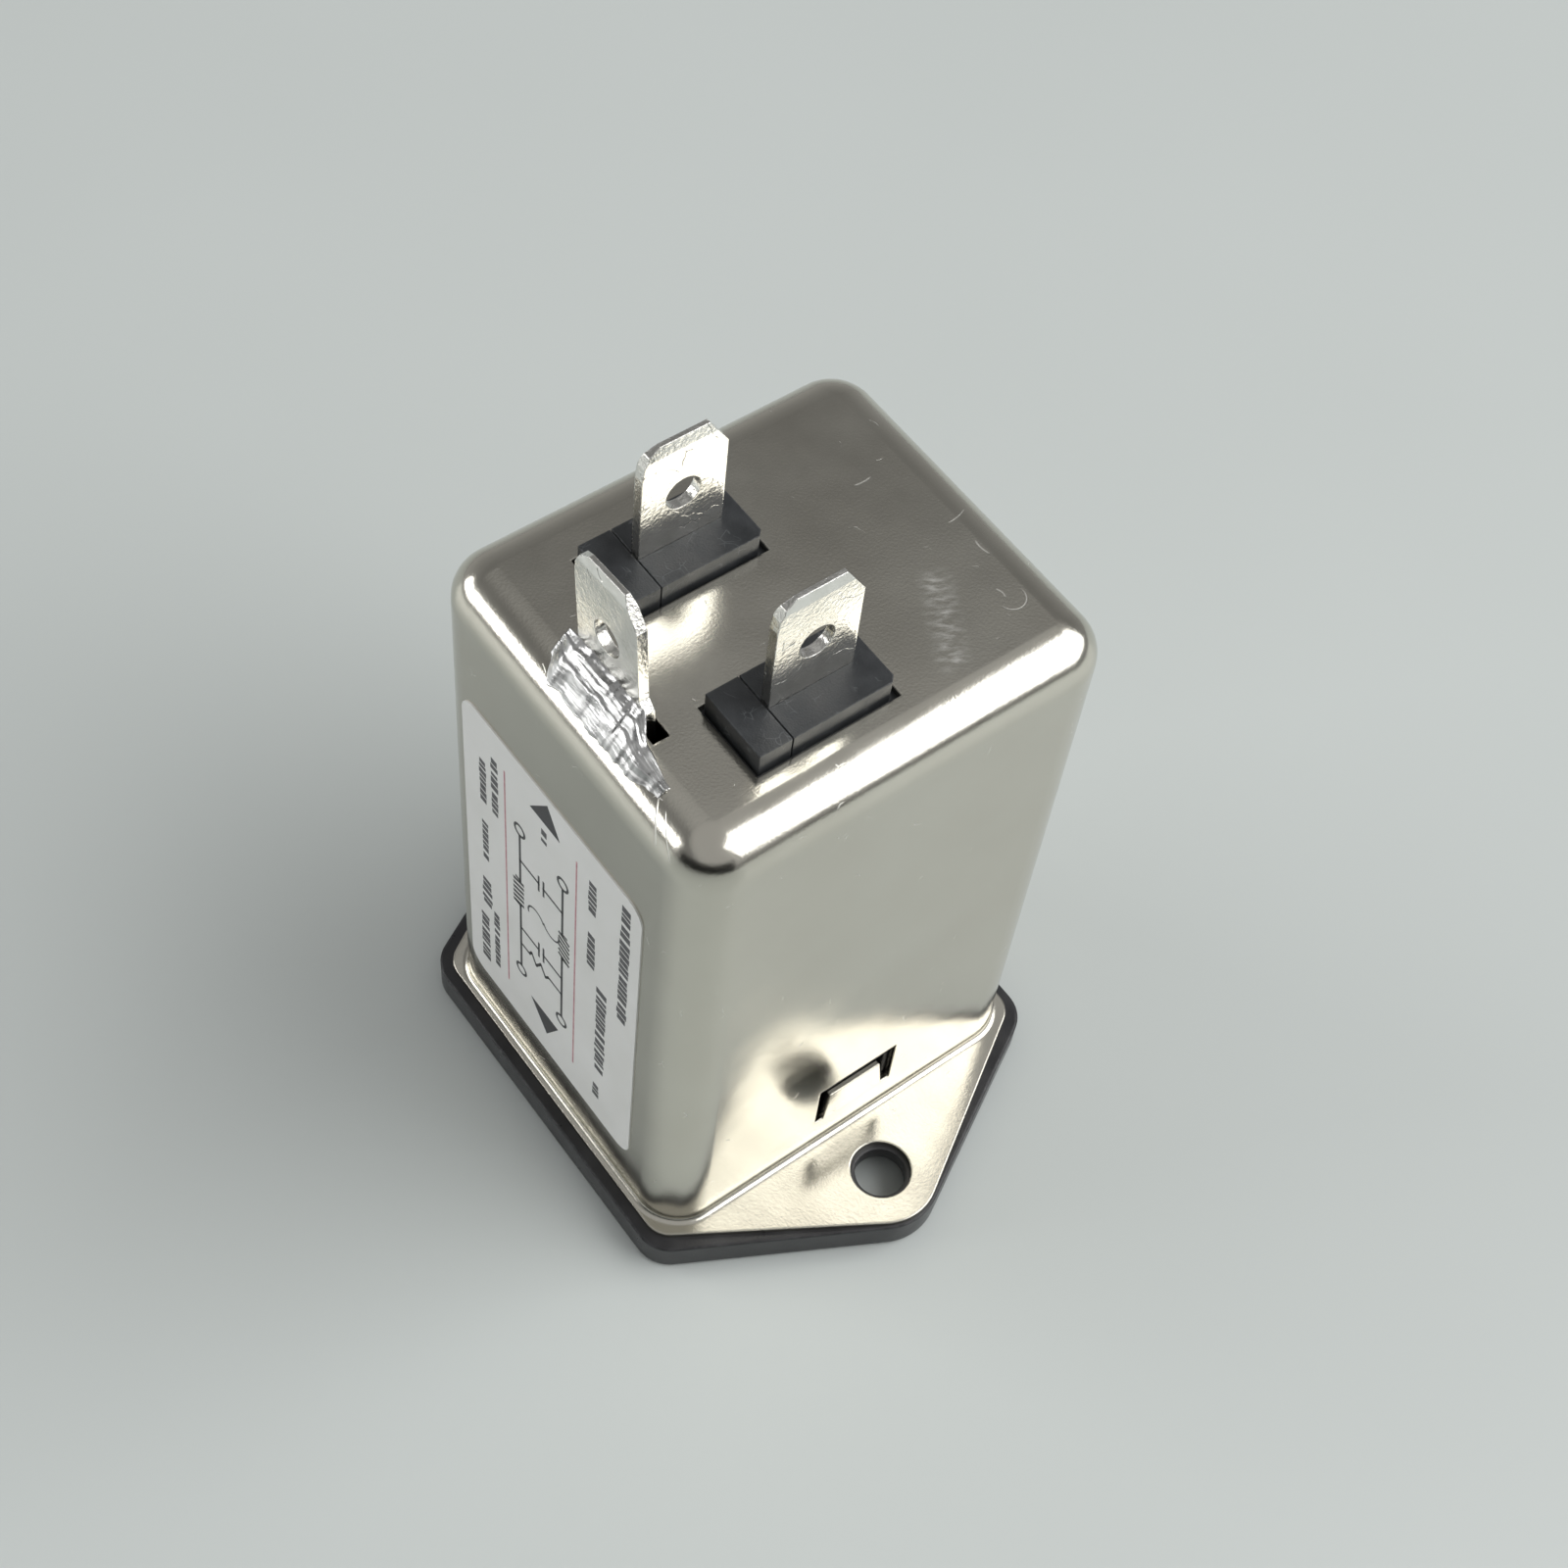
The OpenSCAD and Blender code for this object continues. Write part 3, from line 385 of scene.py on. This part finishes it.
crest, seat = [], []
for i in range(ALONG_STEPS + 1):
    x = SOLDER_START + (SOLDER_END - SOLDER_START) * i / ALONG_STEPS
    crest.append([solder_point(x, j / DOWN_STEPS) for j in range(DOWN_STEPS + 1)])
    seat.append([Vector((p.x, p.y, (can_surface(p.y / MM) - SEAT_DEPTH) * MM)) for p in crest[-1]])
solder = solid_from_grid("solder_run", crest, seat)

solder_metal, tree, shader, place = new_material("solder", (0.60, 0.60, 0.59), 1.0, 0.3)
long_way = put(tree, "Mapping", {"Vector": place, "Scale": (0.3, 2.4, 2.4)}).outputs[0]
streaks = put(tree, "TexNoise", {"Vector": long_way, "Scale": 1.6, "Detail": 4.0}).outputs[0]
dull = effect(tree, mottle, Vector=place, Scale=1.2, Detail=4.0)
colour = mix_colour(tree, dull, (0.42, 0.42, 0.415, 1), (0.64, 0.64, 0.63, 1))
finish_surface(tree, shader, streaks, 0.05, colour, remap(tree, dull, 0, 1, 0.22, 0.38))
solder.data.materials.append(solder_metal)
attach(solder, "root")
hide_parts("earth_solder")

# ---------------------------------------------------------------- label
# White polyester film with a satin face, stuck to the flat of one wall.
film, tree, shader, place = new_material("label_film", (0.82, 0.82, 0.80), 0.0, 0.4)
shade = effect(tree, mottle, Vector=place, Scale=0.2, Detail=3.0)
colour = mix_colour(tree, shade, (0.81, 0.81, 0.785, 1), (0.86, 0.86, 0.845, 1))
fibre = put(tree, "TexNoise", {"Vector": place, "Scale": 3.0, "Detail": 4.0}).outputs[0]
finish_surface(tree, shader, fibre, 0.006, colour, remap(tree, shade, 0, 1, 0.34, 0.46))
dress("printed_label", film)

# ---------------------------------------------------------------- label print
# Ink on the film, each mark a thin raised flat: two red rules, rows of plain blocks where the
# ratings would be, and between the rules the circuit of a line filter, read along the can.
INK_FACE, INK_DEPTH = -17.12, 0.012
RULE_X, RULE_Z, RULE_WIDTH = (-6.3, 2.4), (12.3, 40.6), 0.16
INK_WIDTH, PLATE_WIDTH, ARC_WIDTH = 0.24, 0.2, 0.16
TRIANGLE_X, TRIANGLE_TIP_X = (-3.2, 0.4), -1.1
TRIANGLES = ((43.0, 40.4), (11.4, 14.2))
RAIL_X, RAIL_Z = (-4.5, 0.8), (17.0, 35.0)
RING_Z, RING_RADIUS = (35.6, 16.4), 0.6
COIL_Z, COIL_TURNS, COIL_PITCH, COIL_STROKE = (25.6, 29.0), 6, 0.58, 0.3
BRANCH_Z, PLATE_X, PLATE_HALF = (31.8, 22.6), (-2.15, -1.55), 0.9
ZIGZAG_Z, ZIGZAG_HEIGHT = 20.3, 0.5


def flat_mark(shell, outline):
    """A thin closed flat on the label's face, from an outline of (x, z) in millimetres."""
    faces = []
    for y in (INK_FACE - INK_DEPTH, INK_FACE + INK_DEPTH):
        faces.append([shell.verts.new(Vector((x, y, z)) * MM) for x, z in outline])
    shell.faces.new(faces[0])
    shell.faces.new(faces[1][::-1])
    for i in range(len(outline)):
        j = (i + 1) % len(outline)
        shell.faces.new([faces[0][j], faces[0][i], faces[1][i], faces[1][j]])


def ink_line(shell, points, width):
    """A printed line of even width through the points."""
    for (ax, az), (bx, bz) in zip(points, points[1:]):
        length = math.hypot(bx - ax, bz - az)
        ux, uz = (bx - ax) / length * width / 2, (bz - az) / length * width / 2
        flat_mark(shell, [(ax - ux - uz, az - uz + ux), (ax - ux + uz, az - uz - ux),
                          (bx + ux + uz, bz + uz - ux), (bx + ux - uz, bz + uz + ux)])


def ink_arc(shell, centre, radius, start, end, width, steps=14):
    """A printed arc. Angles are in degrees."""
    inner, outer = [], []
    for i in range(steps + 1):
        a = math.radians(start + (end - start) * i / steps)
        for side, r in ((inner, radius - width / 2), (outer, radius + width / 2)):
            side.append((centre[0] + r * math.cos(a), centre[1] + r * math.sin(a)))
    for i in range(steps):
        flat_mark(shell, [inner[i], inner[i + 1], outer[i + 1], outer[i]])


def ink_blocks(shell, x, top, bottom, size, rng):
    """A row of plain blocks along Z, from top down to bottom, with now and then a wider gap."""
    z = top
    while z > bottom:
        length = rng.uniform(0.35, 0.7)
        half = size / 2 * rng.uniform(0.75, 1.0)
        flat_mark(shell, [(x - half, z), (x + half, z), (x + half, z - length), (x - half, z - length)])
        z -= length + rng.choice((0.16, 0.16, 0.2, 0.45))


def printed(name, shell, material):
    """Makes a print of one ink from its flats, and lets it ride with the label."""
    bmesh.ops.recalc_face_normals(shell, faces=shell.faces)
    mesh = bpy.data.meshes.new(name)
    shell.to_mesh(mesh)
    shell.free()
    mesh.materials.append(material)
    made = bpy.data.objects.new(name, mesh)
    bpy.context.scene.collection.objects.link(made)
    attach(made, "root")


red_ink, tree, shader, place = new_material("red_ink", (0.55, 0.24, 0.27), 0.0, 0.5)
thin = effect(tree, mottle, Vector=place, Scale=2.0, Detail=4.0)
colour = mix_colour(tree, thin, (0.50, 0.20, 0.24, 1), (0.66, 0.38, 0.40, 1))
finish_surface(tree, shader, thin, 0.003, colour, remap(tree, thin, 0, 1, 0.4, 0.55))
rules = bmesh.new()
for x in RULE_X:
    ink_line(rules, [(x, RULE_Z[0]), (x, RULE_Z[1])], RULE_WIDTH)
printed("label_rules", rules, red_ink)

black_ink, tree, shader, place = new_material("black_ink", (0.03, 0.03, 0.032), 0.0, 0.5)
thin = effect(tree, mottle, Vector=place, Scale=2.5, Detail=5.0)
colour = mix_colour(tree, thin, (0.025, 0.025, 0.027, 1), (0.07, 0.07, 0.075, 1))
finish_surface(tree, shader, thin, 0.003, colour, remap(tree, thin, 0, 1, 0.4, 0.55))
circuit = bmesh.new()
for tip, base in TRIANGLES:
    flat_mark(circuit, [(TRIANGLE_X[0], base), (TRIANGLE_X[1], base), (TRIANGLE_TIP_X, tip)])
for side, x in zip((-1, 1), RAIL_X):
    for z in RING_Z:
        ink_arc(circuit, (x, z), RING_RADIUS, 0, 360, INK_WIDTH, 20)
    step = x + 0.5 * side
    ink_line(circuit, [(x, RAIL_Z[1]), (x, COIL_Z[1]), (step, COIL_Z[1])], INK_WIDTH)
    ink_line(circuit, [(step, COIL_Z[0]), (x, COIL_Z[0]), (x, RAIL_Z[0])], INK_WIDTH)
    for turn in range(COIL_TURNS):
        z = COIL_Z[1] - 0.2 - COIL_PITCH * turn
        ink_line(circuit, [(x - 0.3 * side, z), (x + 0.75 * side, z - 0.3)], COIL_STROKE)
for z in BRANCH_Z:
    for x, plate_x in zip(RAIL_X, PLATE_X):
        ink_line(circuit, [(x, z), (plate_x, z)], INK_WIDTH)
        ink_line(circuit, [(plate_x, z - PLATE_HALF), (plate_x, z + PLATE_HALF)], PLATE_WIDTH)
ink_arc(circuit, (-2.5, 26.6), 1.0, 20, 200, ARC_WIDTH)
ink_arc(circuit, (-0.6, 27.6), 1.0, 200, 380, ARC_WIDTH)
zigzag = [(RAIL_X[0], ZIGZAG_Z), (-3.4, ZIGZAG_Z)]
zigzag += [(-3.1 + 0.6 * k, ZIGZAG_Z + ZIGZAG_HEIGHT * (-1) ** k) for k in range(4)]
zigzag += [(-0.9, ZIGZAG_Z), (RAIL_X[1], ZIGZAG_Z)]
ink_line(circuit, zigzag, INK_WIDTH)
printed("label_circuit", circuit, black_ink)

grey_ink, tree, shader, place = new_material("grey_ink", (0.13, 0.13, 0.135), 0.0, 0.5)
thin = effect(tree, mottle, Vector=place, Scale=2.5, Detail=5.0)
colour = mix_colour(tree, thin, (0.05, 0.05, 0.055, 1), (0.14, 0.14, 0.145, 1))
finish_surface(tree, shader, thin, 0.003, colour, remap(tree, thin, 0, 1, 0.4, 0.55))
ratings = bmesh.new()
rng = random.Random(7)
# each row's place across the can, its top and bottom, and the height of its blocks
for x, top, bottom, size in ((-9.1, 38.6, 33.4, 0.9), (-9.0, 30.9, 26.4, 0.8), (-9.0, 23.1, 20.0, 1.3),
                             (-9.4, 17.6, 11.0, 1.2), (-7.6, 40.4, 33.8, 0.9), (-7.8, 19.8, 12.6, 0.8),
                             (-1.5, 39.4, 37.6, 0.7), (4.3, 40.4, 36.6, 1.0), (4.3, 33.8, 29.6, 1.0),
                             (5.7, 27.9, 16.0, 1.3), (5.4, 13.4, 11.2, 0.8), (8.1, 42.4, 27.8, 1.2)):
    ink_blocks(ratings, x, top, bottom, size, rng)
printed("label_ratings", ratings, grey_ink)

# ---------------------------------------------------------------- insulating liner
# A strip of pale pressboard film rolled into the can to keep the live parts off the steel.
liner, tree, shader, place = new_material("liner_film", (0.78, 0.74, 0.6), 0.0, 0.5)
fibre = effect(tree, mottle, Vector=place, Scale=1.5, Detail=6.0)
colour = mix_colour(tree, fibre, (0.74, 0.70, 0.56, 1), (0.82, 0.78, 0.66, 1))
finish_surface(tree, shader, fibre, 0.01, colour, remap(tree, fibre, 0, 1, 0.45, 0.6))
dress("insulating_liner", liner)

# ---------------------------------------------------------------- choke
# A ferrite ring under green epoxy carries two windings of enamelled copper, held apart by a
# moulded plate across the bore.
coating, tree, shader, place = new_material("core_coating", (0.05, 0.16, 0.09), 0.0, 0.35)
flow = effect(tree, mottle, Vector=place, Scale=0.5, Detail=3.0)
colour = mix_colour(tree, flow, (0.04, 0.14, 0.075, 1), (0.07, 0.2, 0.11, 1))
finish_surface(tree, shader, flow, 0.05, colour, remap(tree, flow, 0, 1, 0.28, 0.42))
dress("choke_core", coating)

plate, tree, shader, place = new_material("divider_plastic", (0.78, 0.76, 0.68), 0.0, 0.45)
skin = effect(tree, mottle, Vector=place, Scale=1.0, Detail=4.0)
colour = mix_colour(tree, skin, (0.75, 0.73, 0.65, 1), (0.81, 0.79, 0.72, 1))
finish_surface(tree, shader, skin, 0.01, colour, remap(tree, skin, 0, 1, 0.4, 0.5), edge_radius=0.15)
dress("choke_divider", plate)

copper, tree, shader, place = new_material("enamelled_copper", (0.62, 0.24, 0.1), 1.0, 0.28)
heat = effect(tree, mottle, Vector=place, Scale=0.6, Detail=3.0)
colour = mix_colour(tree, heat, (0.55, 0.19, 0.07, 1), (0.7, 0.3, 0.13, 1))
shader.inputs["Coat Weight"].default_value = 0.6
finish_surface(tree, shader, heat, 0.01, colour, remap(tree, heat, 0, 1, 0.22, 0.36))
for name in ("live_winding", "neutral_winding"):
    dress(name, copper)

# ---------------------------------------------------------------- capacitors, resistor and lead
# A boxed film capacitor, two epoxy dipped discs, a lacquered resistor and a PVC covered lead.
box, tree, shader, place = new_material("film_capacitor", (0.78, 0.55, 0.06), 0.0, 0.4)
skin = effect(tree, mottle, Vector=place, Scale=0.8, Detail=4.0)
colour = mix_colour(tree, skin, (0.74, 0.51, 0.05, 1), (0.82, 0.6, 0.09, 1))
finish_surface(tree, shader, skin, 0.015, colour, remap(tree, skin, 0, 1, 0.34, 0.46), edge_radius=0.2)
dress("x_capacitor", box)

dip, tree, shader, place = new_material("disc_capacitor", (0.03, 0.16, 0.42), 0.0, 0.3)
flow = effect(tree, mottle, Vector=place, Scale=0.7, Detail=3.0)
colour = mix_colour(tree, flow, (0.025, 0.14, 0.38, 1), (0.04, 0.2, 0.5, 1))
finish_surface(tree, shader, flow, 0.04, colour, remap(tree, flow, 0, 1, 0.25, 0.38), edge_radius=0.3)
for name in ("live_y_capacitor", "neutral_y_capacitor"):
    dress(name, dip)

lacquer, tree, shader, place = new_material("resistor_body", (0.62, 0.46, 0.28), 0.0, 0.35)
flow = effect(tree, mottle, Vector=place, Scale=1.2, Detail=3.0)
across_x = put(tree, "SeparateXYZ", {0: place}).outputs["X"]
BAND_RATE = 5.2
stripe = maths(tree, "SINE", maths(tree, "MULTIPLY", across_x, BAND_RATE))
colour = mix_colour(tree, remap(tree, stripe, 0.80, 0.86), (0.62, 0.46, 0.28, 1), (0.25, 0.05, 0.02, 1))
finish_surface(tree, shader, flow, 0.02, colour, remap(tree, flow, 0, 1, 0.3, 0.42))
dress("bleed_resistor", lacquer)

cover, tree, shader, place = new_material("lead_insulation", (0.1, 0.35, 0.08), 0.0, 0.45)
scuff = effect(tree, mottle, Vector=place, Scale=1.0, Detail=4.0)
colour = mix_colour(tree, scuff, (0.08, 0.32, 0.06, 1), (0.13, 0.4, 0.1, 1))
finish_surface(tree, shader, scuff, 0.01, colour, remap(tree, scuff, 0, 1, 0.38, 0.52))
dress("earth_lead", cover)

# ---------------------------------------------------------------- table and room light
# A pale satin table under a dim ceiling that brightens towards one side.
bpy.ops.mesh.primitive_plane_add(size=4)
floor = bpy.context.object
floor.name = "table_top"
table, tree, shader, place = new_material("pale_table", (0.56, 0.60, 0.585), 0.0, 0.38)
cloudy = effect(tree, mottle, Vector=place, Scale=0.012, Detail=2.0)
colour = mix_colour(tree, cloudy, (0.555, 0.59, 0.575, 1), (0.575, 0.61, 0.595, 1))
tree.links.new(colour, shader.inputs["Base Color"])
floor.data.materials.append(table)

world = bpy.data.worlds.new("studio")
bpy.context.scene.world = world
world.use_nodes = True
sky = world.node_tree
SKY_LEAN, SHADE_WAY = (0.45, 0.0, 0.89), (0.66, -0.72, 0.2)
towards = sky.nodes.new("ShaderNodeTexCoord").outputs["Generated"]
slope = vector_maths(sky, "DOT_PRODUCT", towards, SKY_LEAN).outputs["Value"]
ceiling = put(sky, "ValToRGB", {"Fac": remap(sky, slope, -0.3, 0.7)})
for element in list(ceiling.color_ramp.elements)[1:]:
    ceiling.color_ramp.elements.remove(element)
# the ceiling's brightness along that lean, as (place, level)
CEILING = ((0.0, 0.38), (0.25, 0.30), (0.5, 0.25), (0.68, 0.20), (0.77, 0.20), (0.84, 0.34),
           (0.9, 0.44), (1.0, 0.47))
ceiling.color_ramp.elements[0].position = CEILING[0][0]
ceiling.color_ramp.elements[0].color = (CEILING[0][1],) * 3 + (1,)
for position, level in CEILING[1:]:
    ceiling.color_ramp.elements.new(position).color = (level,) * 3 + (1,)
# a dark stretch low in front of the object, where the room is unlit
front = vector_maths(sky, "DOT_PRODUCT", towards, SHADE_WAY).outputs["Value"]
height = put(sky, "SeparateXYZ", {0: towards}).outputs["Z"]
shade = maths(sky, "MULTIPLY", remap(sky, front, 0.55, 0.66), remap(sky, height, 0.30, 0.40, 1.0, 0.0))
background = sky.nodes["Background"]
sky.links.new(ceiling.outputs["Color"], background.inputs["Color"])
sky.links.new(remap(sky, shade, 0, 1, 1.0, 0.04), background.inputs["Strength"])


def softbox(name, azimuth, elevation, wide, high, radiance, distance=1.2):
    """A soft panel that faces the object, at angles in degrees, azimuth 0 being the label side."""
    lamp = bpy.data.lights.new(name, "AREA")
    lamp.shape = "RECTANGLE"
    lamp.size = 2 * distance * math.tan(math.radians(wide / 2))
    lamp.size_y = 2 * distance * math.tan(math.radians(high / 2))
    lamp.energy = radiance * math.pi * lamp.size * lamp.size_y
    panel = bpy.data.objects.new(name, lamp)
    bpy.context.scene.collection.objects.link(panel)
    a, e = math.radians(azimuth), math.radians(elevation)
    way = Vector((math.sin(a) * math.cos(e), -math.cos(a) * math.cos(e), math.sin(e)))
    panel.location = way * distance
    panel.rotation_mode = "QUATERNION"
    panel.rotation_quaternion = way.to_track_quat("Z", "Y")
    panel.visible_camera = False


# azimuth, elevation, width, height, brightness
softbox("right_window", 140, 41, 54, 50, 3.3)
softbox("left_window", -42, 20, 36, 20, 4.5)

# ---------------------------------------------------------------- camera
# Close above one corner, looking down on the blades, with a slight roll.
azimuth, elevation, roll = math.radians(46.606), math.radians(55.835), math.radians(8.036)
distance, lens = 180.8 * MM, 57.93
aim = Vector((1.27, 1.62, 33.0)) * MM
back = Vector((math.sin(azimuth) * math.cos(elevation), -math.cos(azimuth) * math.cos(elevation),
               math.sin(elevation)))
camera = bpy.data.objects.new("camera", bpy.data.cameras.new("camera"))
bpy.context.scene.collection.objects.link(camera)
camera.location = aim + back * distance
camera.rotation_mode = "QUATERNION"
camera.rotation_quaternion = Quaternion(back, roll) @ back.to_track_quat("Z", "Y")
camera.data.lens = lens
camera.data.clip_start, camera.data.clip_end = 0.01, 10
bpy.context.scene.camera = camera
bpy.context.scene.view_settings.view_transform = "Standard"
